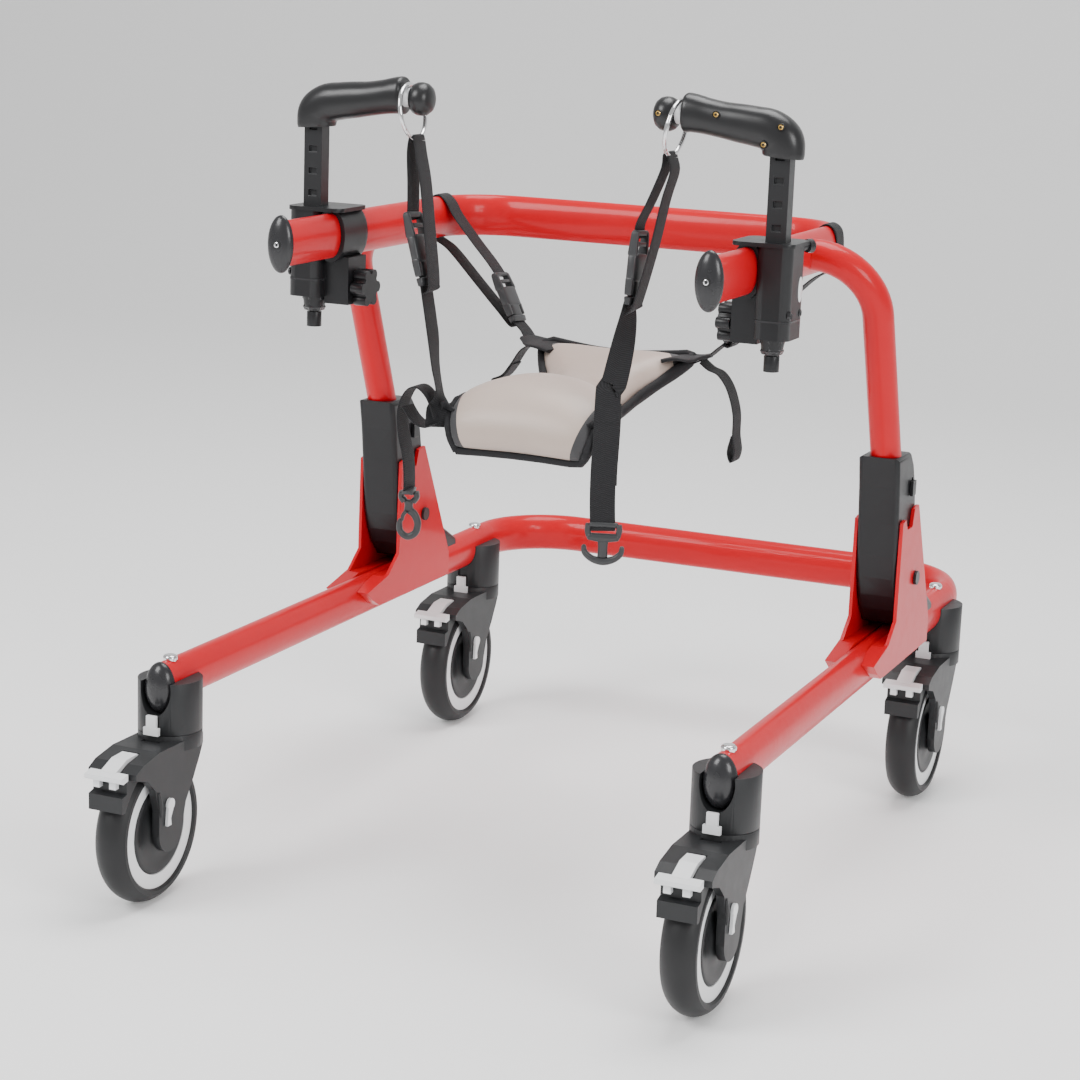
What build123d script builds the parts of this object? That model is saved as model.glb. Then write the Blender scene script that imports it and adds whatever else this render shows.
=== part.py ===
"""Four-caster walking frame with a sling saddle: a U-shaped base on swivel casters, a folding and
telescoping upper loop, two height-adjustable hand grips and a saddle hung on webbing straps."""

import math
import os
from build123d import *

os.makedirs("parts", exist_ok=True)

# ---------------------------------------------------------------- driving dimensions (mm)
RAIL_X = 292.0               # centre of each base rail
RAIL_Z = 214.0
RAIL_W, RAIL_H = 30.0, 44.0  # oval base tube
TUBE_WALL = 2.0
FRONT_Y = -361.5             # front caster bolts; every other place is measured from here
REAR_Y = FRONT_Y + 704
RAIL_FRONT = FRONT_Y - 17
BASE_CROSS_Y = FRONT_Y + 825
BASE_BEND_R = 90.0

ARM_X = 221.0                # upper loop
ARM_Z = 643.0
ARM_W, ARM_H = 23.0, 45.0
ARM_FRONT = FRONT_Y + 85
ARM_CROSS_Y = FRONT_Y + 500
ARM_BEND_R = 65.0

POST_X = 294.0               # telescoping uprights
POST_R = 16.0
POST_BEND_R = 64.0
PIVOT_Y, PIVOT_Z = FRONT_Y + 507, 292.0
LEAN = 22.3                  # degrees, top forward
POST_END = 18.0              # lower end of an upright, above the pivot along its axis

CASTER_TRAIL = 42.0
WHEEL_R, WHEEL_W, RIM_R = 75.0, 34.0, 60.0
WELL_R, WELL_W = 78.0, 38.0
CHEEK_W = 54.0
AXLE_R = 4.0
SEAM_Z = 166.0               # swivel seam under each socket
COLLAR_R = 32.0
CROWN_Z = 150.0
KINGPIN_R = 6.0
LOCK_TRAVEL = 7.0

HANDLE_X, HANDLE_Y = 246.0, FRONT_Y + 200
HANDLE_W, HANDLE_D = 20.0, 16.0
GRIP_Z = 749.0               # underside of the grip's socket
NECK_X, NECK_Z, NECK_R = 143.5, 784.0, 10.0
RING_R, RING_WIRE = 26.75, 2.25
RING_TILT = 10.0             # degrees, the straps draw each ring inwards
KNOB_Y, KNOB_Z = FRONT_Y + 215, 590.0

RUNNING = 0.05               # radial running clearance
SEAT = 0.1                   # gap round a fixed oval seat

SIDES = {"left": -1, "right": 1}
CORNERS = {"front_left": (-1, FRONT_Y), "front_right": (1, FRONT_Y),
           "rear_left": (-1, REAR_Y), "rear_right": (1, REAR_Y)}

lean = math.radians(LEAN)
ring_tilt = math.radians(RING_TILT)
post_dir = Vector(0, -math.sin(lean), math.cos(lean))


def save(piece, name):
    """Label one finished piece and write its STEP file."""
    piece.label = name
    export_step(piece, f"parts/{name}.step")


def on_post(side, distance):
    """A point on an upright's axis, a distance up from the fold pivot."""
    return Vector(side * POST_X, PIVOT_Y, PIVOT_Z) + post_dir * distance


def side_plane(x):
    """Plane facing +X at x, with local x along +Y and local y along +Z."""
    return Plane(origin=(x, 0, 0), x_dir=(0, 1, 0), z_dir=(1, 0, 0))


def front_plane(y):
    """Plane facing -Y at y, with local x along +X and local y along +Z."""
    return Plane(origin=(0, y, 0), x_dir=(1, 0, 0), z_dir=(0, -1, 0))


def from_bolt(points, bolt_y=FRONT_Y):
    """Side-view points given as (distance behind a caster bolt, height)."""
    return [(bolt_y + y, z) for y, z in points]


def oval_dome(x, y, z, half_width, depth, half_height):
    """Front half of an ellipsoid whose flat back stands at y."""
    ball = Sphere(1, mode=Mode.PRIVATE)
    egg = scale(ball, by=(half_width, depth, half_height), mode=Mode.PRIVATE)
    front = Box(4 * half_width, 2 * depth, 4 * half_height, mode=Mode.PRIVATE)
    return Pos(x, y, z) * (egg & (Pos(0, -depth, 0) * front))


# ---------------------------------------------------------------- base U tube
with BuildPart() as base_tube:
    with BuildLine() as base_path:
        FilletPolyline(
            (-RAIL_X, RAIL_FRONT, RAIL_Z), (-RAIL_X, BASE_CROSS_Y, RAIL_Z),
            (RAIL_X, BASE_CROSS_Y, RAIL_Z), (RAIL_X, RAIL_FRONT, RAIL_Z), radius=BASE_BEND_R)
    with BuildSketch(front_plane(RAIL_FRONT)):
        with Locations((-RAIL_X, RAIL_Z)):
            Ellipse(RAIL_W / 2, RAIL_H / 2)
            Ellipse(RAIL_W / 2 - TUBE_WALL, RAIL_H / 2 - TUBE_WALL, mode=Mode.SUBTRACT)
    sweep(path=base_path.line)
    for side, bolt_y in CORNERS.values():
        with Locations((side * RAIL_X, bolt_y, RAIL_Z)):
            Cylinder(KINGPIN_R + SEAT, RAIL_H + 10, mode=Mode.SUBTRACT)
save(base_tube.part, "base_tube")

with BuildPart() as rail_end_caps:
    for side in SIDES.values():
        add(oval_dome(side * RAIL_X, RAIL_FRONT, RAIL_Z - 3, RAIL_W / 2 + 1.5, 13, RAIL_H / 2 + 4))
        with BuildSketch(front_plane(RAIL_FRONT)):
            with Locations((side * RAIL_X, RAIL_Z)):
                Ellipse(RAIL_W / 2 - TUBE_WALL - 3 * SEAT, RAIL_H / 2 - TUBE_WALL - 3 * SEAT)
        extrude(amount=-8)
save(rail_end_caps.part, "rail_end_caps")

# ---------------------------------------------------------------- gusset plates, two to a rail
PLATE_IN, PLATE_OUT = 22.4, 26.4
SHANK_IN = 18.6              # inner end of each pivot screw, clear of the upright
with BuildPart() as gusset_plates:
    for side in SIDES.values():
        for face in (-1, 1):
            inner = side * RAIL_X + face * PLATE_IN
            with BuildSketch(side_plane(inner)):
                Polygon(*from_bolt([
                    (369, 226), (420, 237), (445, 257), (447, 362), (458, 364), (466, 352),
                    (484, 352), (490, 370), (506, 372), (577, 233), (577, 215), (392, 215)]),
                    align=None)
            extrude(amount=face * (PLATE_OUT - PLATE_IN))
            with BuildSketch(side_plane(side * RAIL_X + face * (RAIL_W / 2 - 6))):
                Polygon(*from_bolt([
                    (369, 226), (415, 236), (577, 233), (577, 206), (400, 206), (385, 214)]),
                    align=None)
            extrude(amount=face * (PLATE_OUT - RAIL_W / 2 + 6))
        with BuildSketch(front_plane(FRONT_Y + 350)):
            with Locations((side * RAIL_X, RAIL_Z)):
                Ellipse(RAIL_W / 2 + SEAT, RAIL_H / 2 + SEAT)
        extrude(amount=-260, mode=Mode.SUBTRACT)
        with Locations((side * RAIL_X, PIVOT_Y, PIVOT_Z)):
            Cylinder(4 + RUNNING, 80, rotation=(0, 90, 0), mode=Mode.SUBTRACT)
save(gusset_plates.part, "gusset_plates")

with BuildPart() as pivot_screws:
    for side in SIDES.values():
        for face in (-1, 1):
            with BuildSketch(side_plane(side * RAIL_X + face * SHANK_IN)):
                with Locations((PIVOT_Y, PIVOT_Z)):
                    Circle(4)
            extrude(amount=face * (PLATE_OUT - SHANK_IN))
            with BuildSketch(side_plane(side * RAIL_X + face * PLATE_OUT)):
                with Locations((PIVOT_Y, PIVOT_Z)):
                    Circle(7.5)
            extrude(amount=face * 3.5)
save(pivot_screws.part, "pivot_screws")

# ---------------------------------------------------------------- sleeves and their latches
SLEEVE_HALF = 22.0
LATCH_Y, LATCH_Z = FRONT_Y + 487, 393.5
for name, side in SIDES.items():
    with BuildPart() as sleeve:
        with BuildSketch(side_plane(side * RAIL_X - SLEEVE_HALF)):
            Polygon(*from_bolt([
                (430, 432), (436, 400), (441, 360), (445, 325), (449, 300), (455, 280), (464, 263),
                (477, 248), (486, 243.5), (500, 240), (520, 240), (545, 236.8), (604, 236.8),
                (604, 246), (575, 262), (545, 290), (530, 311), (508, 372), (504, 392), (492, 419),
                (480, 432)]), align=None)
        extrude(amount=2 * SLEEVE_HALF)
        outline = [e for e in sleeve.edges() if abs(e.center().X - side * RAIL_X) > 21]
        fillet([e for e in outline if e.center().Z > 250], radius=5)
        with Locations(Location(Plane(origin=on_post(side, 0), z_dir=post_dir))):
            Cylinder(POST_R + RUNNING, 230, align=(Align.CENTER, Align.CENTER, Align.MIN),
                     mode=Mode.SUBTRACT)
            Cylinder(POST_R + RUNNING, 46, align=(Align.CENTER, Align.CENTER, Align.MAX),
                     mode=Mode.SUBTRACT)
        with Locations((side * RAIL_X, PIVOT_Y, PIVOT_Z)):
            Cylinder(4 + RUNNING, 2 * SLEEVE_HALF + 10, rotation=(0, 90, 0), mode=Mode.SUBTRACT)
        with Locations((side * RAIL_X, LATCH_Y, LATCH_Z + LOCK_TRAVEL / 2)):
            Box(2 * SLEEVE_HALF + 2, 5.6, 7.6 + LOCK_TRAVEL, mode=Mode.SUBTRACT)
    save(sleeve.part, f"{name}_sleeve")

    with BuildPart() as latch:
        with Locations((side * RAIL_X, LATCH_Y, LATCH_Z)):
            Box(2 * SLEEVE_HALF + 6, 5, 7)
        for face in (-1, 1):
            with Locations((side * RAIL_X + face * (SLEEVE_HALF + 2.2), LATCH_Y - 3, LATCH_Z)):
                Box(3.4, 12, 16)
    save(latch.part, f"{name}_latch")

# ---------------------------------------------------------------- upper loop, uprights and caps
with BuildPart() as upper_loop:
    with BuildLine() as upper_path:
        FilletPolyline(
            (-ARM_X, ARM_FRONT, ARM_Z), (-ARM_X, ARM_CROSS_Y, ARM_Z),
            (ARM_X, ARM_CROSS_Y, ARM_Z), (ARM_X, ARM_FRONT, ARM_Z), radius=ARM_BEND_R)
    with BuildSketch(front_plane(ARM_FRONT)):
        with Locations((-ARM_X, ARM_Z)):
            Ellipse(ARM_W / 2, ARM_H / 2)
            Ellipse(ARM_W / 2 - TUBE_WALL, ARM_H / 2 - TUBE_WALL, mode=Mode.SUBTRACT)
    sweep(path=upper_path.line)
save(upper_loop.part, "upper_loop")

with BuildPart() as upright_posts:
    for side in SIDES.values():
        top = on_post(side, (ARM_Z - PIVOT_Z) / math.cos(lean))
        with BuildLine() as post_path:
            FilletPolyline(on_post(side, POST_END), top, (side * (ARM_X + 4), top.Y, top.Z),
                           radius=POST_BEND_R)
        with BuildSketch(Plane(origin=on_post(side, POST_END), z_dir=post_dir)):
            Circle(POST_R)
            Circle(POST_R - TUBE_WALL, mode=Mode.SUBTRACT)
        sweep(path=post_path.line)
        with BuildSketch(front_plane(top.Y - 40)):
            with Locations((side * ARM_X, ARM_Z)):
                Ellipse(ARM_W / 2 + RUNNING, ARM_H / 2 + RUNNING)
        extrude(amount=-80, mode=Mode.SUBTRACT)
save(upright_posts.part, "upright_posts")

with BuildPart() as arm_end_caps:
    for side in SIDES.values():
        add(oval_dome(side * ARM_X, ARM_FRONT, ARM_Z, 14.0, 9, 28.25))
        with BuildSketch(front_plane(ARM_FRONT)):
            with Locations((side * ARM_X, ARM_Z)):
                Ellipse(ARM_W / 2 - TUBE_WALL - SEAT, ARM_H / 2 - TUBE_WALL - SEAT)
        extrude(amount=-8)
save(arm_end_caps.part, "arm_end_caps")

# ---------------------------------------------------------------- hand grips on their clamps
HOUSING_TOP, HOUSING_BOTTOM = 667.0, 580.0
POST_BOTTOM = 618.0
for name, side in SIDES.items():
    with BuildPart() as clamp:
        with BuildSketch(Plane.XY.offset(HOUSING_BOTTOM)):
            with Locations((side * 249, HANDLE_Y + 2)):
                RectangleRounded(35, 46, 9)
        extrude(amount=HOUSING_TOP - HOUSING_BOTTOM)
        with BuildSketch(front_plane(FRONT_Y + 186)):
            with Locations((side * ARM_X, ARM_Z)):
                Ellipse(ARM_W / 2 + 4.5, ARM_H / 2 + 4.5)
        extrude(amount=-50)
        with Locations((side * 218.5, FRONT_Y + 214, 597)):
            Box(27, 38, 48)
        with BuildSketch(Plane.XY.offset(HOUSING_TOP)):
            with Locations((side * 237, HANDLE_Y + 8)):
                RectangleRounded(62, 62, 10)
        extrude(amount=4)
        with BuildSketch(Plane.XY.offset(HOUSING_BOTTOM)):
            with Locations((side * HANDLE_X, HANDLE_Y)):
                Circle(12.5)
        extrude(amount=-15, taper=12)
        with BuildSketch(front_plane(FRONT_Y + 150)):
            with Locations((side * ARM_X, ARM_Z)):
                Ellipse(ARM_W / 2 + SEAT, ARM_H / 2 + SEAT)
        extrude(amount=-120, mode=Mode.SUBTRACT)
        with BuildSketch(Plane.XY.offset(HOUSING_TOP + 5)):
            with Locations((side * HANDLE_X, HANDLE_Y)):
                Rectangle(HANDLE_W + 2 * RUNNING, HANDLE_D + 2 * RUNNING)
        extrude(amount=-(HOUSING_TOP + 5 - HOUSING_BOTTOM - 6), mode=Mode.SUBTRACT)
        with Locations((side * HANDLE_X, HANDLE_Y, HOUSING_BOTTOM)):
            Cylinder(5 + RUNNING, 40, mode=Mode.SUBTRACT)
        with Locations((side * 216, KNOB_Y, KNOB_Z)):
            Cylinder(4 + RUNNING, 26, rotation=(0, 90, 0), mode=Mode.SUBTRACT)
    save(clamp.part, f"{name}_clamp")

    with BuildPart() as knob:
        with BuildSketch(side_plane(side * 203)):
            with Locations((KNOB_Y, KNOB_Z)):
                Circle(14)
                with PolarLocations(14.5, 6):
                    Circle(5.5)
        extrude(amount=-side * 14)
        with BuildSketch(side_plane(side * 226)):
            with Locations((KNOB_Y, KNOB_Z)):
                Circle(4)
        extrude(amount=-side * 24)
    save(knob.part, f"{name}_knob")

    with BuildPart() as plunger:
        with BuildSketch(Plane.XY.offset(548)):
            with Locations((side * HANDLE_X, HANDLE_Y)):
                Circle(7.5)
        extrude(amount=15)
        with BuildSketch(Plane.XY.offset(560)):
            with Locations((side * HANDLE_X, HANDLE_Y)):
                Circle(5)
        extrude(amount=24)
    save(plunger.part, f"{name}_plunger")

    with BuildPart() as handle_post:
        with BuildSketch(Plane.XY.offset(POST_BOTTOM)):
            with Locations((side * HANDLE_X, HANDLE_Y)):
                Rectangle(HANDLE_W, HANDLE_D)
        extrude(amount=GRIP_Z + 14 - POST_BOTTOM)
        for step in range(6):
            with Locations((side * HANDLE_X, HANDLE_Y - HANDLE_D / 2, 640 + 22 * step)):
                Box(9, 6, 6, mode=Mode.SUBTRACT)
    save(handle_post.part, f"{name}_handle_post")

    with BuildPart() as ring:
        hang = Vector(-side * math.sin(ring_tilt), 0, -math.cos(ring_tilt))
        hung_on = Vector(side * NECK_X, HANDLE_Y, NECK_Z + NECK_R + 0.4)
        ring_axis = hang.cross(Vector(0, 1, 0))
        with Locations(Location(Plane(hung_on + hang * (RING_R - RING_WIRE), z_dir=ring_axis))):
            Torus(RING_R, RING_WIRE)
    save(ring.part, f"{name}_ring")

with BuildPart() as grip:
    stations = [(264, 766, 10, 24), (250, 768, 34, 34), (225, 772, 42, 35), (200, 777, 37, 34),
                (172, 782, 33, 32), (NECK_X + 3.6, 785, 36, 33)]
    for x, z, height, depth in stations:
        with BuildSketch(side_plane(-x)):
            with Locations((HANDLE_Y, z)):
                Ellipse(depth / 2, height / 2)
    loft()
    with BuildSketch(Plane.XY.offset(GRIP_Z)):
        with Locations((-246.5, HANDLE_Y)):
            RectangleRounded(40, 30, 9)
    extrude(amount=22)
    with BuildSketch(side_plane(-(NECK_X + 5))):
        with Locations((HANDLE_Y, NECK_Z)):
            Circle(NECK_R)
    extrude(amount=14)
    with BuildSketch(front_plane(HANDLE_Y)):
        with Locations((-129, NECK_Z)):
            Ellipse(11, 16)
        with Locations((-129, NECK_Z - 20)):
            Rectangle(40, 40, mode=Mode.SUBTRACT)
    revolve(axis=Axis((0, HANDLE_Y, NECK_Z), (1, 0, 0)))
    with Locations((-HANDLE_X, HANDLE_Y, GRIP_Z - 1)):
        Box(HANDLE_W + 2 * SEAT, HANDLE_D + 2 * SEAT, 15.2,
            align=(Align.CENTER, Align.CENTER, Align.MIN), mode=Mode.SUBTRACT)
save(grip.part, "left_grip")
save(mirror(grip.part, about=Plane.YZ), "right_grip")

# ---------------------------------------------------------------- casters
FORK_TOP = [(-62, 160.5), (-92, 155), (-104, 149)]
BRAKE_PIVOT = (-74, 156)
LEVER_PIVOT = (-46, 104)
for name, (side, bolt_y) in CORNERS.items():
    x = side * RAIL_X
    wheel_y = bolt_y - CASTER_TRAIL

    with BuildPart() as socket:
        with BuildSketch(Plane.XY.offset(SEAM_Z)):
            with Locations((x, bolt_y)):
                Circle(COLLAR_R)
        extrude(amount=52)
        with BuildSketch(front_plane(bolt_y - 50)):
            with Locations((x, RAIL_Z)):
                Ellipse(RAIL_W / 2 + SEAT, RAIL_H / 2 + SEAT)
            with Locations((x, RAIL_Z + 20)):
                Rectangle(RAIL_W + 2 * SEAT, 40)
        extrude(amount=-100, mode=Mode.SUBTRACT)
        if bolt_y == FRONT_Y:
            with BuildSketch(front_plane(RAIL_FRONT + 0.4)):
                with Locations((x, RAIL_Z - 3)):
                    Ellipse(RAIL_W / 2 + 2, RAIL_H / 2 + 4.5)
            extrude(amount=20, mode=Mode.SUBTRACT)
        with Locations((x, bolt_y - COLLAR_R, SEAM_Z + 12)):
            Box(12, 7, 20, mode=Mode.SUBTRACT)
        with Locations((x, bolt_y, SEAM_Z)):
            Cylinder(KINGPIN_R + SEAT, 80, mode=Mode.SUBTRACT)
    save(socket.part, f"{name}_socket")

    with BuildPart() as fork:
        with BuildSketch(side_plane(x - WELL_W / 2)):
            Polygon(*from_bolt([(18, 160.5)] + FORK_TOP + [
                (-108, 147), (-108, 130), (-116, 128), (-116, 112), (-108, 112), (-80, 146),
                (-42, CROWN_Z), (18, CROWN_Z)], bolt_y), align=None)
        extrude(amount=WELL_W)
        with BuildSketch(side_plane(x - CHEEK_W / 2)) as cheek:
            with BuildLine():
                Polyline(*from_bolt([(-21, 75), (-14, 98), (0, 118), (12, 138), (18, CROWN_Z),
                                     (18, 160.5)] + FORK_TOP + [(-104, 143), (-84, 137),
                                     (-70, 124), (-63, 100), (-63, 75)], bolt_y))
                ThreePointArc(*from_bolt([(-63, 75), (-42, 54), (-21, 75)], bolt_y))
            make_face()
        extrude(amount=CHEEK_W)
        with Locations((x, wheel_y, WHEEL_R)):
            Cylinder(WELL_R, WELL_W, rotation=(0, 90, 0), mode=Mode.SUBTRACT)
        with BuildSketch(side_plane(x - 9.5)):
            Polygon(*from_bolt([(-69.5, 170), (-69.5, 151.5), (-92, 148.5), (-110, 141),
                                (-110, 170)], bolt_y), align=None)
        extrude(amount=19, mode=Mode.SUBTRACT)
        with Locations((x, bolt_y - 35, 164)):
            Box(20, 6, 11, mode=Mode.SUBTRACT)
        with BuildSketch(Plane.XY.offset(CROWN_Z)):
            with Locations((x, bolt_y)):
                Circle(COLLAR_R)
        extrude(amount=SEAM_Z - 0.5 - CROWN_Z)
        with Locations((x, bolt_y, CROWN_Z)):
            Cylinder(KINGPIN_R + RUNNING, 60, mode=Mode.SUBTRACT)
            Cylinder(10, 20, align=(Align.CENTER, Align.CENTER, Align.MAX), mode=Mode.SUBTRACT)
        with Locations((x, wheel_y, WHEEL_R)):
            Cylinder(AXLE_R, CHEEK_W - 4, rotation=(0, 90, 0), mode=Mode.SUBTRACT)
        with Locations((x, bolt_y + BRAKE_PIVOT[0], BRAKE_PIVOT[1])):
            Cylinder(1.5 + RUNNING, 25, rotation=(0, 90, 0), mode=Mode.SUBTRACT)
        with Locations((x + CHEEK_W / 2, bolt_y + LEVER_PIVOT[0], LEVER_PIVOT[1])):
            Cylinder(2 + RUNNING, 8, rotation=(0, 90, 0), mode=Mode.SUBTRACT)
    save(fork.part, f"{name}_fork")

    with BuildPart() as tyre:
        with BuildSketch(Plane(origin=(x, wheel_y, WHEEL_R), x_dir=(1, 0, 0), z_dir=(0, -1, 0))):
            with BuildLine():
                Polyline((17, 66), (17, 62), (15, RIM_R), (-15, RIM_R), (-17, 62), (-17, 66))
                ThreePointArc((-17, 66), (0, WHEEL_R), (17, 66))
            make_face()
        revolve(axis=Axis((x, wheel_y, WHEEL_R), (1, 0, 0)))
    save(tyre.part, f"{name}_tyre")

    with BuildPart() as wheel_core:
        with BuildSketch(Plane(origin=(x, wheel_y, WHEEL_R), x_dir=(1, 0, 0), z_dir=(0, -1, 0))):
            half = [(14, RIM_R), (14, 46), (5, 44), (5, 20), (18.4, 16), (18.4, AXLE_R + RUNNING)]
            Polygon(*half, *[(-across, radius) for across, radius in reversed(half)], align=None)
        revolve(axis=Axis((x, wheel_y, WHEEL_R), (1, 0, 0)))
    save(wheel_core.part, f"{name}_wheel_core")

    with BuildPart() as axle:
        with Locations((x, wheel_y, WHEEL_R)):
            Cylinder(AXLE_R, CHEEK_W - 4, rotation=(0, 90, 0))
    save(axle.part, f"{name}_axle")

    with BuildPart() as brake_lever:
        with BuildSketch(side_plane(x - 8.5)):
            with Locations((bolt_y + BRAKE_PIVOT[0], BRAKE_PIVOT[1])):
                Circle(3.4)
            Polygon(*from_bolt([(-73, 159.4), (-92, 158.6), (-112, 150.5), (-110, 146.5),
                                (-92, 153.8), (-75, 152.8)], bolt_y), align=None)
        extrude(amount=17)
        with BuildSketch(side_plane(x - 21)):
            Polygon(*from_bolt([(-109, 150.8), (-120, 148.5), (-121, 144.5), (-117, 142.5),
                                (-109, 144)], bolt_y), align=None)
        extrude(amount=42)
        for prong in (-10, 8):
            with Locations((x + prong, bolt_y - 113.5, 140.5)):
                Box(7, 6, 10)
        with Locations((x, bolt_y + BRAKE_PIVOT[0], BRAKE_PIVOT[1])):
            Cylinder(1.5, 24, rotation=(0, 90, 0))
    save(brake_lever.part, f"{name}_brake_lever")

    lock_z = SEAM_Z + 0.5 if bolt_y == FRONT_Y else SEAM_Z + 0.5 - LOCK_TRAVEL
    with BuildPart() as swivel_lock:
        with Locations((x, bolt_y - COLLAR_R - 2.5, lock_z + 4)):
            Box(17, 4.2, 8)
        with Locations((x, bolt_y - COLLAR_R - 2.3, lock_z + 13.5)):
            Box(11, 3.8, 13)
    save(swivel_lock.part, f"{name}_swivel_lock")

    with BuildPart() as drag_lever:
        with BuildSketch(side_plane(x + CHEEK_W / 2 + 0.4)):
            with Locations((bolt_y + LEVER_PIVOT[0], LEVER_PIVOT[1])):
                Circle(6)
            Polygon(*from_bolt([(-51, 106), (-42, 100), (-47, 90), (-46, 83), (-53, 83)], bolt_y),
                    align=None)
        extrude(amount=3)
        with Locations((x + CHEEK_W / 2 + 1, bolt_y + LEVER_PIVOT[0], LEVER_PIVOT[1])):
            Cylinder(2, 4, rotation=(0, 90, 0), align=(Align.CENTER, Align.CENTER, Align.MAX))
    save(drag_lever.part, f"{name}_drag_lever")

with BuildPart() as caster_bolts:
    for side, bolt_y in CORNERS.values():
        x = side * RAIL_X
        with Locations((x, bolt_y, CROWN_Z - 5.2)):
            Cylinder(9, 4.9, align=(Align.CENTER, Align.CENTER, Align.MIN))
            Cylinder(KINGPIN_R, RAIL_Z + RAIL_H / 2 + 1 - CROWN_Z + 5.2,
                     align=(Align.CENTER, Align.CENTER, Align.MIN))
        with Locations((x, bolt_y, RAIL_Z + RAIL_H / 2 + SEAT)):
            Cylinder(7.5, 4.5, align=(Align.CENTER, Align.CENTER, Align.MIN))
    rims = caster_bolts.faces().filter_by(Axis.Z).sort_by(Axis.Z)[-4:]
    fillet(rims.edges(), radius=3.2)
save(caster_bolts.part, "caster_bolts")

# ---------------------------------------------------------------- saddle and its webbing
STRAP_W, STRAP_T = 25.0, 2.4
SADDLE_Z, SADDLE_TILT, SADDLE_THICK = 466.0, 5.0, 36.0
with BuildPart() as saddle_pad:
    with BuildSketch(Plane(origin=(0, FRONT_Y + 170, SADDLE_Z), x_dir=(1, 0, 0),
                           z_dir=(0, -math.sin(math.radians(SADDLE_TILT)), 1))):
        with BuildLine():
            Spline((0, -6), (60, -2), (80, 24), (74, 66), (50, 120), (52, 168), (92, 232),
                   (86, 256), (50, 262), (0, 262))
            mirror(about=Plane.YZ)
        make_face()
    extrude(amount=SADDLE_THICK)
save(saddle_pad.part, "saddle_pad")


def strap(start, end, facing):
    """A straight flat run of webbing between two points, its face turned to facing."""
    run = Vector(*end) - Vector(*start)
    across = run.cross(Vector(*facing)).normalized()
    with BuildPart(mode=Mode.PRIVATE) as piece:
        with BuildSketch(Plane(origin=start, x_dir=across, z_dir=run)):
            Rectangle(STRAP_W, STRAP_T)
        extrude(amount=run.length)
    return piece.part


for name, side in SIDES.items():
    with BuildPart() as front_strap:
        add(strap((side * 133, HANDLE_Y, 737), (side * 96, FRONT_Y + 172, 492), (1, 0, 0)))
        add(strap((side * 98, FRONT_Y + 170, 486), (side * 98, FRONT_Y + 170, 360), (0, 1, 0)))
    save(front_strap.part, f"front_{name}_strap")

with BuildPart() as rear_straps:
    for side in SIDES.values():
        add(strap((side * 204, FRONT_Y + 424, 622), (side * 106, FRONT_Y + 424, 520), (0, 1, 0)))
        with BuildSketch(front_plane(FRONT_Y + 411)):
            with Locations((side * ARM_X, ARM_Z)):
                Ellipse(ARM_W / 2 + 0.5 + STRAP_T, ARM_H / 2 + 0.5 + STRAP_T)
                Ellipse(ARM_W / 2 + 0.5, ARM_H / 2 + 0.5, mode=Mode.SUBTRACT)
        extrude(amount=-STRAP_W)
save(rear_straps.part, "rear_straps")
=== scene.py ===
import math
import bpy
import numpy as np
from mathutils import Matrix


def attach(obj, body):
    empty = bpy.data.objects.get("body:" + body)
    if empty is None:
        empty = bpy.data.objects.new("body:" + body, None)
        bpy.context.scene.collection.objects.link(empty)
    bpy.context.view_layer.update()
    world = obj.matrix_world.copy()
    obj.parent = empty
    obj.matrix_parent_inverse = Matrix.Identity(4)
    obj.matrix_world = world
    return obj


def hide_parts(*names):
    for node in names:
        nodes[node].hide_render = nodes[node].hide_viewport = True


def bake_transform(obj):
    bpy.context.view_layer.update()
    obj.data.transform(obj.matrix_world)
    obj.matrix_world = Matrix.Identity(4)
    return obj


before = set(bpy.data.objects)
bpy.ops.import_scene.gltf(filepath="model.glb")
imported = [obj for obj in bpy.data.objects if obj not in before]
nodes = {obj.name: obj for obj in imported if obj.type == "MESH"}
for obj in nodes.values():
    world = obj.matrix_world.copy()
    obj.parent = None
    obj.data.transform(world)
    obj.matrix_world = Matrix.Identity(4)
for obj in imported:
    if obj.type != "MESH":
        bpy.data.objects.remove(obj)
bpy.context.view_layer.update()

# ---- Studio -------------------------------------------------------------------------------
# A pale sheet of paper that lies on the floor and curves up behind the frame, under soft boxes.
# None of it belongs to the object.


class Tone:
    """A number in a material: using it in arithmetic adds the matching Math node."""

    def __init__(self, finish, socket):
        self.finish, self.socket = finish, socket

    def math(self, operation, *terms):
        return self.finish.node("ShaderNodeMath", {"operation": operation},
                                dict(enumerate(terms)))

    def __add__(self, other):
        return self.math("ADD", self, other)

    def __sub__(self, other):
        return self.math("SUBTRACT", self, other)

    def __rsub__(self, other):
        return self.math("SUBTRACT", other, self)

    def __mul__(self, other):
        return self.math("MULTIPLY", self, other)

    def __gt__(self, other):
        return self.math("GREATER_THAN", self, other)

    def __abs__(self):
        return self.math("ABSOLUTE", self)

    def sine(self):
        return self.math("SINE", self)

    def larger(self, other):
        return self.math("MAXIMUM", self, other)

    __radd__, __rmul__ = __add__, __mul__


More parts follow.
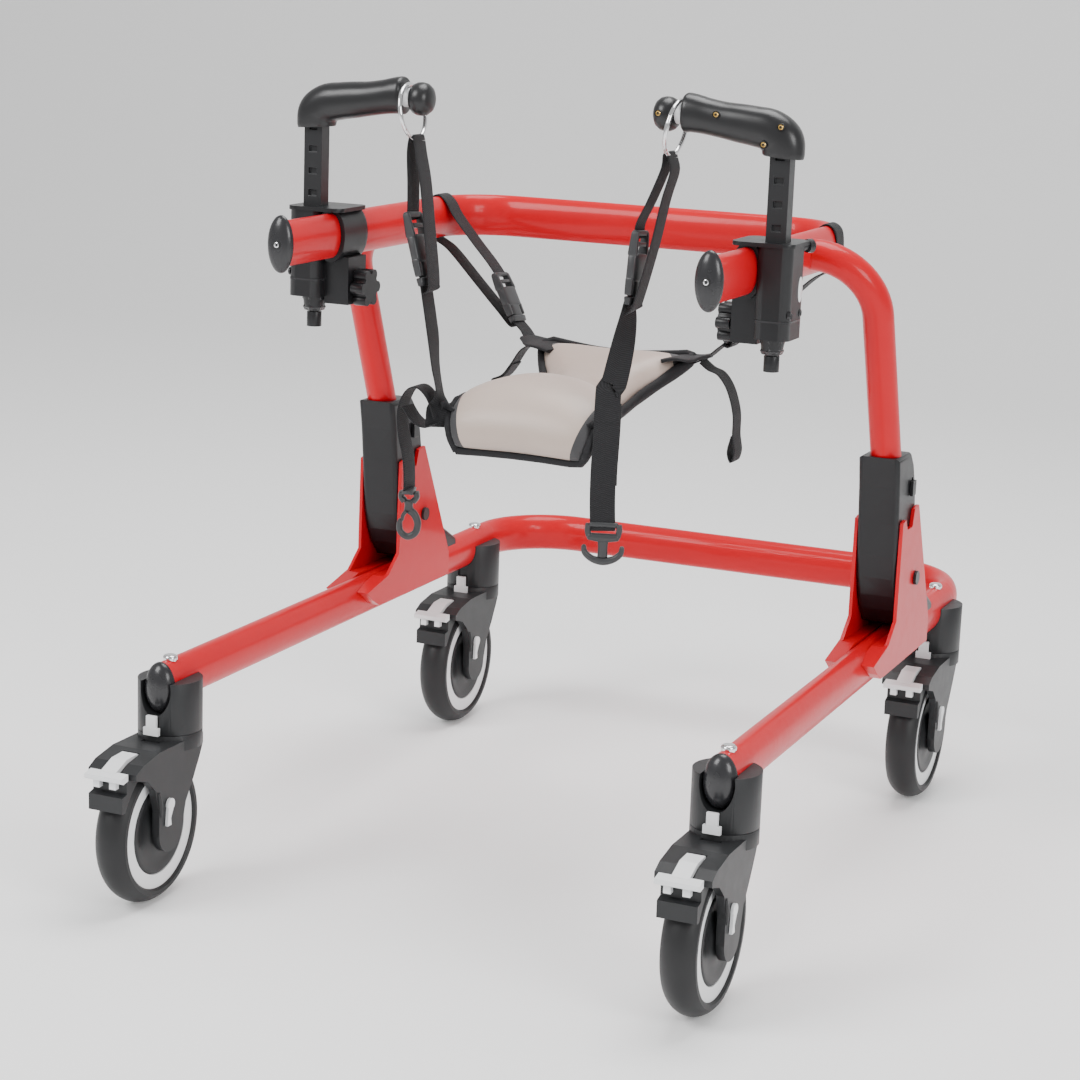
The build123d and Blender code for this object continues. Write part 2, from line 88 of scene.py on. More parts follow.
class Finish:
    """One procedural finish: a Principled shader and the nodes that vary it."""

    def __init__(self, name, **shader):
        self.material = bpy.data.materials.new(name)
        self.material.use_nodes = True
        self.tree = self.material.node_tree
        self.tree.nodes.clear()
        names = {key.replace("_", " "): value for key, value in shader.items()}
        self.shader = self.node("ShaderNodeBsdfPrincipled", {}, names).socket.node
        output = self.tree.nodes.new("ShaderNodeOutputMaterial")
        self.tree.links.new(self.shader.outputs[0], output.inputs["Surface"])

    def node(self, kind, settings, inputs, output=0):
        """Adds a node: its settings first, then the values or links of its sockets."""
        made = self.tree.nodes.new(kind)
        for key, value in settings.items():
            setattr(made, key, value)
        for key, value in inputs.items():
            if isinstance(value, Tone):
                value = value.socket
            if isinstance(value, bpy.types.NodeSocket):
                self.tree.links.new(value, made.inputs[key])
            else:
                made.inputs[key].default_value = value
        return Tone(self, made.outputs[output])

    def place(self, centre=(0, 0, 0)):
        """Object coordinates measured from a centre, in metres."""
        spot = self.node("ShaderNodeTexCoord", {}, {}, "Object")
        away = tuple(-c for c in centre)
        return self.node("ShaderNodeMapping", {}, {"Vector": spot, "Location": away})

    def along(self, vector, axis):
        """One coordinate of a vector."""
        return self.node("ShaderNodeSeparateXYZ", {}, {0: vector}, "XYZ".index(axis))

    def noise(self, scale, detail=3.0, roughness=0.55, vector=None):
        return self.node("ShaderNodeTexNoise", {}, {
            "Vector": vector or self.place(), "Scale": scale, "Detail": detail,
            "Roughness": roughness}, "Fac")

    def mix(self, factor, first, second):
        """A colour between two, by a factor from 0 to 1."""
        return self.node("ShaderNodeMix", {"data_type": "RGBA"},
                         {"Factor": factor, "A": first, "B": second}, 2)

    def feed(self, socket, value):
        """Links a value to one of the shader's own sockets."""
        self.tree.links.new(value.socket, self.shader.inputs[socket])

    def bump(self, height, depth, strength=1.0):
        """Raises the surface by height times depth, depth in metres."""
        self.feed("Normal", self.node("ShaderNodeBump", {}, {
            "Height": height, "Distance": depth, "Strength": strength}))


def rgba(red, green, blue):
    """An opaque colour from its linear red, green and blue."""
    return (red, green, blue, 1.0)


CLOUD_SCALE, GLOSS_SCALE, GLOSS_SPREAD = 14.0, 60.0, 0.12


def mottled(name, colour, spread, roughness, grain, depth, **shader):
    """A moulded or coated finish: a soft cloudy colour, uneven gloss and a fine grain.

    Colour = mix of two shades by a broad noise; roughness = middle + a finer noise times the
    gloss spread; height = a grain noise of the given scale."""
    finish = Finish(name, **shader)
    dark = rgba(*(c * (1 - spread) for c in colour))
    light = rgba(*(c * (1 + spread) for c in colour))
    finish.feed("Base Color", finish.mix(finish.noise(CLOUD_SCALE), dark, light))
    finish.feed("Roughness", (finish.noise(GLOSS_SCALE) - 0.5) * GLOSS_SPREAD + roughness)
    finish.bump(finish.noise(grain, 2.0), depth)
    return finish


def surface(name, grid, finish):
    """An open sheet of quads over a grid of points (rows, columns, 3)."""
    rows, columns = grid.shape[:2]
    corner = (np.arange(rows - 1)[:, None] * columns + np.arange(columns - 1)).ravel()
    faces = np.stack([corner, corner + 1, corner + columns + 1, corner + columns], 1)
    mesh = bpy.data.meshes.new(name)
    mesh.from_pydata(grid.reshape(-1, 3), [], faces.tolist())
    mesh.polygons.foreach_set("use_smooth", np.ones(len(faces), bool))
    mesh.materials.append(finish.material)
    piece = bpy.data.objects.new(name, mesh)
    bpy.context.collection.objects.link(piece)
    return piece


PAPER_REACH, PAPER_TOP = 9.0, 7.0
CURVE_START, CURVE_R = 3.0, 2.0
# The paper's section lies flat, turns up through a quarter circle and then stands upright.
turn = np.linspace(0, math.pi / 2, 24)
sweep_y = np.concatenate([[-PAPER_REACH], CURVE_START + CURVE_R * np.sin(turn),
                          [CURVE_START + CURVE_R]])
sweep_z = np.concatenate([[0.0], CURVE_R - CURVE_R * np.cos(turn), [PAPER_TOP]])
paper_x = np.linspace(-PAPER_REACH, PAPER_REACH, 2)
paper = np.stack(np.broadcast_arrays(paper_x[None, :], sweep_y[:, None], sweep_z[:, None]), -1)
paper_finish = mottled("studio_paper", (0.93, 0.93, 0.93), spread=0.01, roughness=0.85,
                       grain=300.0, depth=0.00005, Emission_Color=rgba(1.0, 1.0, 1.0),
                       Emission_Strength=0.12)
surface("studio_paper", paper, paper_finish)

world = bpy.data.worlds.new("studio_air")
world.use_nodes = True
air = world.node_tree.nodes["Background"].inputs
air["Color"].default_value, air["Strength"].default_value = rgba(1.0, 1.0, 1.0), 0.62
bpy.context.scene.world = world


def soft_box(name, place, target, size, power):
    """A square area lamp at place, turned to face target."""
    lamp = bpy.data.lights.new(name, "AREA")
    lamp.shape, lamp.size, lamp.energy = "SQUARE", size, power
    holder = bpy.data.objects.new(name, lamp)
    away = np.subtract(place, target)
    away = away / np.linalg.norm(away)
    across = np.cross((0, 0, 1), away)
    across /= np.linalg.norm(across)
    axes = np.eye(4)
    axes[:3, :3] = np.stack([across, np.cross(away, across), away], 1)
    axes[:3, 3] = place
    holder.matrix_world = Matrix(axes)
    bpy.context.collection.objects.link(holder)


soft_box("key_box", (-1.6, -2.4, 2.6), (0, 0, 0.4), size=1.5, power=85)
soft_box("fill_box", (2.6, -1.6, 1.6), (0, 0, 0.4), size=1.2, power=45)
soft_box("top_box", (0.2, 0.4, 3.0), (0, 0, 0.3), size=1.6, power=75)

# The camera's own right, up and backward directions are the rows of its axes.
CAMERA_PLACE = (0.995, -2.4355, 0.921)
CAMERA_AXES = ((0.9146, 0.4035, 0.0347), (-0.1208, 0.1903, 0.9743), (0.3859, -0.8950, 0.2228))
camera = bpy.data.cameras.new("studio_camera")
camera.lens, camera.sensor_width, camera.clip_end = 84.67, 36.0, 50.0
camera_holder = bpy.data.objects.new("studio_camera", camera)
pose = np.eye(4)
pose[:3, :3] = np.array(CAMERA_AXES).T
pose[:3, 3] = CAMERA_PLACE
camera_holder.matrix_world = Matrix(pose)
bpy.context.collection.objects.link(camera_holder)
bpy.context.scene.camera = camera_holder

# ---- Red steel frame ----------------------------------------------------------------------
# Oval steel tubes and laser-cut plates, powder coated in a glossy signal red. The coat flows out
# smooth, with a faint orange peel and slightly uneven gloss.

EDGE_ANGLE = math.radians(38)
powder_red = mottled("powder_red", (0.56, 0.0005, 0.009), spread=0.05, roughness=0.34, grain=900.0,
                     depth=0.00004, Coat_Weight=0.22, Coat_Roughness=0.08, Specular_IOR_Level=0.15)


def dress(finish, *names, edge=0.0):
    """Gives CAD nodes a finish; edge rounds their sharp edges by that much."""
    for name in names:
        node = nodes[name]
        node.data.materials.clear()
        node.data.materials.append(finish.material)
        if edge:
            weld = node.modifiers.new("weld", "WELD")
            weld.merge_threshold = 1e-6
            bevel = node.modifiers.new("rounded_edges", "BEVEL")
            bevel.width, bevel.segments = edge, 2
            bevel.limit_method, bevel.angle_limit = "ANGLE", EDGE_ANGLE
            bevel.harden_normals = True


dress(powder_red, "base_tube", "upper_loop", "upright_posts")
dress(powder_red, "gusset_plates", edge=0.0008)

# ---- Black mouldings ----------------------------------------------------------------------
# Glass-filled nylon sleeves, clamps, caps and latches: near black and satin, with a spark-eroded
# grain and uneven gloss. The square posts are black anodised tube, and the rings are chromed.

black_nylon = mottled("black_nylon", (0.009, 0.0092, 0.0105), spread=0.22, roughness=0.36,
                      grain=1400.0, depth=0.00005, Specular_IOR_Level=0.36)
dress(black_nylon, "left_sleeve", "right_sleeve", "left_clamp", "right_clamp", edge=0.0012)
dress(black_nylon, "left_latch", "right_latch", "left_knob", "right_knob", "left_plunger",
      "right_plunger", edge=0.0007)
glossy_cap = mottled("glossy_cap", (0.018, 0.018, 0.020), spread=0.15, roughness=0.26,
                     grain=1400.0, depth=0.00002)
dress(glossy_cap, "rail_end_caps", "arm_end_caps")
post_black = mottled("post_black", (0.020, 0.0205, 0.022), spread=0.12, roughness=0.36,
                     grain=1600.0, depth=0.00003, Metallic=0.15, Specular_IOR_Level=0.36)
dress(post_black, "left_handle_post", "right_handle_post", "pivot_screws", edge=0.0008)
chrome = mottled("bright_chrome", (0.78, 0.78, 0.79), spread=0.03, roughness=0.10, grain=500.0,
                 depth=0.00001, Metallic=1.0)
dress(chrome, "caster_bolts", "left_ring", "right_ring")

# ---- Casters ------------------------------------------------------------------------------
# Four braked swivel casters: a socket under the rail, a nylon fork, a black rubber tyre on a
# white-rimmed wheel with black hub covers, and white levers for brake, swivel lock and drag.

RAIL_X, FRONT_BOLT_Y, REAR_BOLT_Y = 0.292, -0.3615, 0.3425
CORNERS = {"front_left": (-RAIL_X, FRONT_BOLT_Y), "front_right": (RAIL_X, FRONT_BOLT_Y),
           "rear_left": (-RAIL_X, REAR_BOLT_Y), "rear_right": (RAIL_X, REAR_BOLT_Y)}
TRAIL, WHEEL_R, HUB_R = 0.042, 0.075, 0.0452
HUB_DISH = [(0.0055, HUB_R), (0.0135, HUB_R), (0.0146, 0.0440), (0.0148, 0.042),
            (0.0135, 0.036), (0.0128, 0.030), (0.0135, 0.024), (0.0160, 0.019),
            (0.0180, 0.0165), (0.0184, 0.014), (0.0184, 0.0065), (0.0055, 0.0065)]
HORN_OUT, HORN_AHEAD, HORN_LEAN, HORN_FOOT, HORN_TALL = 0.0272, 0.0600, 0.0045, 0.094, 0.026
HORN_STEPS, HORN_AROUND = 9, 16
fork_nylon = mottled("fork_nylon", (0.018, 0.0187, 0.020), spread=0.16, roughness=0.42,
                     grain=1300.0, depth=0.00006, Specular_IOR_Level=0.36)
white_nylon = mottled("white_nylon", (0.78, 0.79, 0.80), spread=0.03, roughness=0.34, grain=1500.0,
                      depth=0.00002)
axle_steel = mottled("axle_steel", (0.55, 0.55, 0.56), spread=0.06, roughness=0.30, grain=700.0,
                     depth=0.00001, Metallic=1.0)


def rings_mesh(rings, close=True):
    """Points and faces of a skin over closed rings (count, around, 3), ends capped."""
    count, around = rings.shape[:2]
    start = (np.arange(count - 1)[:, None] * around + np.arange(around)).ravel()
    beside = (np.arange(count - 1)[:, None] * around + (np.arange(around) + 1) % around).ravel()
    faces = np.stack([start, beside, beside + around, start + around], 1).tolist()
    if close:
        faces.append(list(range(around))[::-1])
        faces.append(list(range((count - 1) * around, count * around)))
    return rings.reshape(-1, 3), faces


def outward(points, faces):
    """Turns all faces over if the skin's signed volume says they point inwards."""
    volume = 0.0
    for face in faces:
        a = points[face[0]]
        fan = points[face[1:]]
        volume += np.einsum("ij,ij->i", np.cross(fan[:-1], fan[1:]), a[None]).sum()
    return [face[::-1] for face in faces] if volume < 0 else faces


def build(name, parts, finish, body, replaces=()):
    """Joins (points, faces) parts into one piece that rides on a body."""
    points, faces, base = [], [], 0
    for part_points, part_faces in parts:
        part_faces = outward(part_points, part_faces)
        points.append(part_points)
        faces += [[base + i for i in face] for face in part_faces]
        base += len(part_points)
    mesh = bpy.data.meshes.new(name)
    mesh.from_pydata(np.concatenate(points), [], faces)
    mesh.polygons.foreach_set("use_smooth", np.ones(len(faces), bool))
    mesh.materials.append(finish.material)
    piece = bpy.data.objects.new(name, mesh)
    bpy.context.collection.objects.link(piece)
    mesh.set_sharp_from_angle(angle=math.radians(40))
    if body:
        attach(piece, body)
    if replaces:
        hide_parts(*replaces)
    return piece


def turned(centre, axis, profile, around=48):
    """A turned part: profile rows are (distance along axis, radius); each makes one ring."""
    axis = np.array(axis, float)
    helper = np.array((0, 0, 1.0)) if abs(axis[2]) < 0.9 else np.array((1.0, 0, 0))
    first = np.cross(axis, helper)
    first /= np.linalg.norm(first)
    second = np.cross(axis, first)
    angle = np.linspace(0, 2 * math.pi, around, endpoint=False)
    spoke = np.cos(angle)[:, None] * first + np.sin(angle)[:, None] * second
    profile = np.array(profile, float)
    return rings_mesh(np.array(centre) + profile[:, None, :1] * axis
                      + profile[:, None, 1:] * spoke[None])


for corner, (x, bolt_y) in CORNERS.items():
    hub = (x, bolt_y - TRAIL, WHEEL_R)
    dress(fork_nylon, f"{corner}_socket", f"{corner}_fork", edge=0.0015)
    dress(axle_steel, f"{corner}_axle")
    dress(white_nylon, f"{corner}_brake_lever", f"{corner}_swivel_lock",
          f"{corner}_drag_lever", edge=0.0006)

    tread = mottled(f"tyre_rubber_{corner}", (0.014, 0.014, 0.015), spread=0.15, roughness=0.46,
                    grain=900.0, depth=0.00004, Specular_IOR_Level=0.34)
    dress(tread, f"{corner}_tyre")

    core = Finish(f"wheel_core_{corner}", Roughness=0.35)
    place = core.place(hub)
    reach = core.node("ShaderNodeVectorMath", {"operation": "LENGTH"}, {
        0: core.node("ShaderNodeVectorMath", {"operation": "MULTIPLY"},
                     {0: place, 1: (0.0, 1.0, 1.0)})}, "Value")
    core.feed("Base Color", core.mix(reach > HUB_R, rgba(0.03, 0.031, 0.033),
                                     rgba(0.80, 0.81, 0.82)))
    core.feed("Roughness", (core.noise(80.0) - 0.5) * 0.1 + 0.36)
    dress(core, f"{corner}_wheel_core")

    covers = [turned(hub, (side, 0, 0), HUB_DISH) for side in (-1, 1)]
    build(f"{corner}_hub_covers", covers, fork_nylon, f"{corner}_wheel")

    # A moulded horn stands on the leg's front edge, clear of the drag lever's sweep. Its line
    # leans forwards as the square of its height, and its girth swells by a sine.
    rise = np.linspace(0.0, 1.0, HORN_STEPS)
    horn = np.stack([np.full(HORN_STEPS, x + HORN_OUT),
                     bolt_y - HORN_AHEAD - HORN_LEAN * rise ** 2, HORN_FOOT + HORN_TALL * rise], 1)
    girth = 0.0006 + 0.0028 * np.sin(math.pi * (0.18 + 0.75 * (1 - rise)))
    ring = np.linspace(0, 2 * math.pi, HORN_AROUND, endpoint=False)
    horn_rings = horn[:, None] + girth[:, None, None] * np.stack(
        [0.70 * np.cos(ring), 0.80 * np.sin(ring), np.zeros(HORN_AROUND)], 1)
    build(f"{corner}_leg_horn", [rings_mesh(horn_rings)], fork_nylon, f"{corner}_swivel")

# ---- Hand grips ---------------------------------------------------------------------------
# Two half shells of soft black plastic screwed together round the post, swelling over the palm
# and narrowing to a white neck with a round end knob, where the saddle's steel ring hangs.

GRIP_Y, KNOB_X, NECK_X = -0.1615, 0.1285, 0.1435
KNOB = [(-0.0113, 0.003), (-0.0108, 0.008), (-0.0085, 0.0125), (-0.0045, 0.0155),
        (0.0, 0.0165), (0.0045, 0.0162), (0.0085, 0.0145), (0.0108, 0.0120), (0.0114, 0.009)]
NECK = [(-0.0045, 0.0098), (0.0, 0.0094), (0.0045, 0.0098)]
GRIP_SCREWS = [(0.184, 0.786), (0.248, 0.778), (0.232, 0.761), (0.126, 0.784)]
GRIP_SCREW_OUT, KNOB_SCREW_OUT = 0.0170, 0.0159
SCREW_WELL = [(-0.003, 0.0036), (0.0006, 0.0036), (0.0009, 0.0031), (0.0002, 0.0028)]
SCREW_HEAD = [(-0.002, 0.0026), (0.0006, 0.0026), (0.0010, 0.0021), (0.0009, 0.0012),
              (0.0001, 0.0010)]
grip_black = mottled("grip_black", (0.011, 0.011, 0.012), spread=0.15, roughness=0.31,
                     grain=1100.0, depth=0.00005, Specular_IOR_Level=0.45)
brass = mottled("screw_brass", (0.62, 0.40, 0.13), spread=0.08, roughness=0.24, grain=600.0,
                depth=0.00001, Metallic=1.0)
# A darker, matte copy of the black plastic: painted shade for the recessed screw wells and cap
# dimples.
painted_well_shade = mottled("painted_well_shade", (0.006, 0.006, 0.006), spread=0.1, roughness=0.6, grain=600.0,
                    depth=0.00001)


def flow(points, count):
    """Points evenly along a smooth curve through the given ones.

    Each span is a cubic whose end slopes are half the chord between its neighbours."""
    points = np.array(points, float)
    ends = np.concatenate([[2 * points[0] - points[1]], points, [2 * points[-1] - points[-2]]])
    t = np.linspace(0, len(points) - 1, max(400, count * 6))
    i = np.minimum(t.astype(int), len(points) - 2)
    f = (t - i)[:, None]
    a, b, c, d = ends[i], ends[i + 1], ends[i + 2], ends[i + 3]
    dense = b + 0.5 * f * (c - a + f * (2 * a - 5 * b + 4 * c - d + f * (3 * (b - c) + d - a)))
    length = np.concatenate([[0], np.cumsum(np.linalg.norm(np.diff(dense, axis=0), axis=1))])
    even = np.linspace(0, length[-1], count)
    return np.stack([np.interp(even, length, dense[:, k]) for k in range(dense.shape[1])], 1)


def carry(path, across, half_width, half_depth, around=24, squareness=2.0):
    """Rings of a superellipse carried square to a path.

    across is the direction of the section's width at each point; the depth direction is square
    to both. Point = centre + across * a * |cos|^(2/n) + depth * b * |sin|^(2/n), with signs."""
    tangent = np.gradient(path, axis=0)
    tangent /= np.linalg.norm(tangent, axis=1)[:, None]
    across = np.broadcast_to(np.array(across, float), path.shape)
    across = across - (across * tangent).sum(1)[:, None] * tangent
    across /= np.linalg.norm(across, axis=1)[:, None]
    depth = np.cross(tangent, across)
    angle = np.linspace(0, 2 * math.pi, around, endpoint=False)
    cos = np.sign(np.cos(angle)) * np.abs(np.cos(angle)) ** (2 / squareness)
    sin = np.sign(np.sin(angle)) * np.abs(np.sin(angle)) ** (2 / squareness)
    a = np.broadcast_to(half_width, len(path))[:, None, None]
    b = np.broadcast_to(half_depth, len(path))[:, None, None]
    return (path[:, None] + across[:, None] * a * cos[:, None]
            + depth[:, None] * b * sin[:, None])


# Each row of the spine is a point of the grip's middle line, from the post's top to the end of
# the palm swell, as its distance from the middle plane and its height, then the section's half
# depth and half width there.
GRIP_SPINE = [(0.2465, 0.7495, 0.0190, 0.0150), (0.2465, 0.7540, 0.0200, 0.0160),
              (0.2440, 0.7650, 0.0205, 0.0172), (0.2330, 0.7735, 0.0195, 0.0176),
              (0.2180, 0.7765, 0.0186, 0.0176), (0.2020, 0.7785, 0.0180, 0.0172),
              (0.1860, 0.7805, 0.0170, 0.0166), (0.1700, 0.7830, 0.0170, 0.0164),
              (0.1570, 0.7850, 0.0180, 0.0168), (0.1500, 0.7855, 0.0186, 0.0168),
              (0.1478, 0.7856, 0.0172, 0.0152)]
for side_name, side in {"left": -1, "right": 1}.items():
    spine = flow(GRIP_SPINE, 90)
    path = np.stack([side * spine[:, 0], np.full(len(spine), GRIP_Y), spine[:, 1]], 1)
    shell = rings_mesh(carry(path, (0, 1, 0), spine[:, 3], spine[:, 2], around=40,
                             squareness=2.3))
    knob = turned((side * KNOB_X, GRIP_Y, 0.783), (side, 0, 0), KNOB)
    build(f"{side_name}_grip_shell", [shell, knob], grip_black, f"{side_name}_handle",
          replaces=[f"{side_name}_grip"])
    neck = turned((side * NECK_X, GRIP_Y, 0.784), (side, 0, 0), NECK, around=32)
    build(f"{side_name}_grip_neck", [neck], white_nylon, f"{side_name}_handle")

    # Brass cross-head screws in countersunk wells: on the front of the right grip and on the
    # back of the left one, because both grips are one moulding turned round.
    face = -side
    heads, wells = [], []
    for screw_x, screw_z in GRIP_SCREWS:
        reach = KNOB_SCREW_OUT if screw_x < KNOB_X else GRIP_SCREW_OUT
        spot = (side * screw_x, GRIP_Y + face * reach, screw_z)
        wells.append(turned(spot, (0, face, 0), SCREW_WELL, around=20))
        heads.append(turned(spot, (0, face, 0), SCREW_HEAD, around=18))
    # The wells are dark matte cups round the screw heads: painted shade in the recess.
    build(f"{side_name}_grip_screw_wells", wells, painted_well_shade, f"{side_name}_handle")
    build(f"{side_name}_grip_screws", heads, brass, f"{side_name}_handle")

# ---- Arm end screws and clamp fittings ----------------------------------------------------
# Each arm's oval cap is held by one cross-head screw in a dimple. The clamps carry countersunk
# screws, a blank white oval inlay and a small side knob on the top flange.

ARM_X, ARM_Z = 0.221, 0.643
CAP_WELL = [(-0.003, 0.0042), (0.0006, 0.0042), (0.0009, 0.0036), (0.0003, 0.0031)]
CAP_SCREW = [(-0.002, 0.0029), (0.0009, 0.0027), (0.0012, 0.0018), (0.0002, 0.0012)]
INLAY = [(-0.001, 0.0105), (0.0006, 0.0105), (0.0009, 0.0098)]
INLAY_SPOT, INLAY_SHAPE = np.array((0, -0.150, 0.6265)), (1, 0.55, 1.15)
CLAMP_SIDE, CLAMP_SCREWS = 0.2660, [(-0.176, 0.604), (-0.147, 0.604)]
CLAMP_SCREW = [(-0.001, 0.0042), (0.0010, 0.0040), (0.0016, 0.0030), (0.0008, 0.0022)]
SIDE_KNOB = [(-0.004, 0.0045), (0.002, 0.0045), (0.003, 0.0068), (0.009, 0.0072),
             (0.0105, 0.0058), (0.0108, 0.0020)]
COLLAR = [(0.0, 0.0122), (0.0030, 0.0124), (0.0045, 0.0112), (0.0100, 0.0108),
          (0.0115, 0.0118), (0.0150, 0.0100), (0.0152, 0.0070)]

for side_name, side in {"left": -1, "right": 1}.items():
    cap_face = (side * ARM_X, -0.2850, ARM_Z)
    # The dimple is a dark matte cup round the screw head: painted shade in the recess.
    dimple = turned(cap_face, (0, -1, 0), CAP_WELL, around=24)
    build(f"{side_name}_arm_cap_well", [dimple], painted_well_shade, "upper")
    head = turned(cap_face, (0, -1, 0), CAP_SCREW, around=20)
    build(f"{side_name}_arm_cap_screw", [head], chrome, "upper")

    # The inlay is a turned button drawn out to an oval about its own middle.
    button, faces = turned((side * 0.2662, *INLAY_SPOT[1:]), (side, 0, 0), INLAY, around=32)
    oval = (button - INLAY_SPOT) * INLAY_SHAPE + INLAY_SPOT
    build(f"{side_name}_clamp_inlay", [(oval, faces)], white_nylon, "upper")

    # The seam is an open band round the housing, so that the post can slide down inside it.
    seam_line = np.array([(side * 0.249, -0.1595, z) for z in (0.5965, 0.5985)])
    seam = carry(seam_line, (1, 0, 0), 0.0179, 0.0234, around=40, squareness=5.0)
    fittings = [turned((side * CLAMP_SIDE, y, z), (side, 0, 0), CLAMP_SCREW, around=20)
                for y, z in CLAMP_SCREWS]
    fittings += [turned((side * 0.262, -0.1300, 0.6655), (side * 0.5, 0.8, 0), SIDE_KNOB,
                        around=24),
                 rings_mesh(seam, close=False),
                 turned((side * 0.246, GRIP_Y, 0.5795), (0, 0, -1), COLLAR, around=6)]
    build(f"{side_name}_clamp_fittings", fittings, glossy_cap, "upper")

# ---- Saddle -------------------------------------------------------------------------------
# A foam pad sewn into taupe coated cloth: a front bolster that rolls down over its hem, a narrow
# waist and a raised rear wing, edged with black binding and with black cloth at the corners.

TAUPE = (0.47, 0.38, 0.325)
CORNER_BLACK = rgba(0.03, 0.03, 0.032)
saddle_cloth = Finish("saddle_cloth", Roughness=0.5, Coat_Weight=0.12, Coat_Roughness=0.35,
                      Sheen_Weight=0.15)
place = saddle_cloth.place()
away, ahead = abs(saddle_cloth.along(place, "X")), saddle_cloth.along(place, "Y")
height = saddle_cloth.along(place, "Z")

# Black cloth covers the bolster's ends, wider towards the hem, and the wing's outer corners.
bolster_ends = (away - height * 0.3 > -0.077) * (0 - ahead > 0.135)
wing_ends = away + ahead * 0.75 > 0.101
corner_cloth = bolster_ends.larger(wing_ends)
clouds = saddle_cloth.mix(saddle_cloth.noise(22.0), rgba(*(c * 0.93 for c in TAUPE)),
                          rgba(*(c * 1.06 for c in TAUPE)))
saddle_cloth.feed("Base Color", saddle_cloth.mix(corner_cloth, clouds, CORNER_BLACK))
saddle_cloth.feed("Roughness", (saddle_cloth.noise(45.0) - 0.5) * 0.14
                  + corner_cloth * 0.25 + 0.44)
pebbles = saddle_cloth.node("ShaderNodeTexVoronoi", {"feature": "SMOOTH_F1"},
                            {"Vector": place, "Scale": 620.0}, "Distance")
saddle_cloth.bump(pebbles + saddle_cloth.noise(70.0) * 1.5, 0.00018, 0.6)


def saddle_rows(s):
    """Depth, height, half width and edge lift of the pad from its hem (0) to its rear (1)."""
    at = [0.0, 0.07, 0.16, 0.27, 0.40, 0.52, 0.60, 0.72, 0.84, 0.93, 1.0]
    y = [-0.187, -0.191, -0.183, -0.160, -0.120, -0.078, -0.045, -0.005, 0.032, 0.055, 0.068]
    z = [0.445, 0.461, 0.481, 0.497, 0.500, 0.489, 0.486, 0.493, 0.503, 0.509, 0.512]
    w = [0.069, 0.075, 0.080, 0.079, 0.067, 0.051, 0.046, 0.056, 0.076, 0.086, 0.084]
    lift = [-0.002, -0.004, -0.007, -0.010, -0.015, -0.020, -0.019, -0.010, 0.000, 0.005, 0.007]
    knots = np.stack([at, y, z, w, lift], 1)
    smooth = flow(knots, 240)
    return [np.interp(s, smooth[:, 0], smooth[:, k]) for k in range(1, 5)]


# The middle sheet: x = half width * u, height = line + edge lift * u squared. Half its thickness
# falls off towards the rim and has a crease across the waist.
PAD_FOAM, PAD_SKIN, UNDER_SHARE = 0.0105, 0.0018, 0.7
CREASE_AT, CREASE_WIDE, CREASE_DEEP = 0.50, 0.05, 0.42
s = np.linspace(0, 1, 60)
u = np.linspace(-1, 1, 41)
pad_y, pad_z, pad_w, pad_lift = saddle_rows(s)
middle = np.stack(np.broadcast_arrays(
    pad_w[:, None] * u, pad_y[:, None] + 0 * u, pad_z[:, None] + pad_lift[:, None] * u ** 2), -1)
along_s, along_u = np.gradient(middle, axis=0), np.gradient(middle, axis=1)
up = np.cross(along_u, along_s)
up /= np.linalg.norm(up, axis=-1)[..., None]
crease = 1 - CREASE_DEEP * np.exp(-((s - CREASE_AT) / CREASE_WIDE) ** 2)
foam = PAD_FOAM * crease * (1 - (2 * s - 1) ** 10)
fill = (foam[:, None] * (1 - u ** 6) ** 0.6 + PAD_SKIN)[..., None]
upper_side, under_side = middle + up * fill, middle - up * (UNDER_SHARE * fill)
pad_rings = np.concatenate([upper_side, under_side[:, ::-1]], 1)
saddle = build("saddle_cushion", [rings_mesh(pad_rings)], saddle_cloth, None)


def apply_all(piece):
    """Bakes a piece's modifiers into its mesh."""
    deps = bpy.context.evaluated_depsgraph_get()
    piece.data = bpy.data.meshes.new_from_object(piece.evaluated_get(deps))
    piece.modifiers.clear()


SWELL_FRAMES = 20


def swell(piece, voxel, pressure, cap):
    """Fills a closed cushion: remesh, blow up as cloth, keep each point near its start."""
    remesh = piece.modifiers.new("remesh", "REMESH")
    remesh.mode, remesh.voxel_size = "VOXEL", voxel
    apply_all(piece)
    count = len(piece.data.vertices)
    before = np.empty(count * 3)
    piece.data.vertices.foreach_get("co", before)
    cloth = piece.modifiers.new("cloth", "CLOTH")
    cloth.settings.use_pressure = True
    cloth.settings.uniform_pressure_force = pressure
    cloth.settings.effector_weights.gravity = 0.0
    cloth.settings.quality = 6
    cloth.settings.tension_stiffness = 12.0
    cloth.settings.bending_stiffness = 0.4
    cloth.point_cache.frame_end = SWELL_FRAMES
    for number in range(1, SWELL_FRAMES + 1):
        bpy.context.scene.frame_set(number)
    apply_all(piece)
    bpy.context.scene.frame_set(1)
    after = np.empty(count * 3)
    piece.data.vertices.foreach_get("co", after)
    move = (after - before).reshape(-1, 3)
    length = np.linalg.norm(move, axis=1)[:, None]
    move *= np.minimum(1.0, cap / np.maximum(length, 1e-9))
    piece.data.vertices.foreach_set("co", (before.reshape(-1, 3) + move).ravel())


swell(saddle, voxel=0.0045, pressure=3.0, cap=0.005)
soften = saddle.modifiers.new("soften", "SMOOTH")
soften.factor, soften.iterations = 0.6, 3
subdivide = saddle.modifiers.new("subdivide", "SUBSURF")
subdivide.levels = subdivide.render_levels = 1
apply_all(saddle)
saddle.data.materials.clear()
saddle.data.materials.append(saddle_cloth.material)
saddle.data.polygons.foreach_set("use_smooth", np.ones(len(saddle.data.polygons), bool))
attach(saddle, "upper")
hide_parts("saddle_pad")

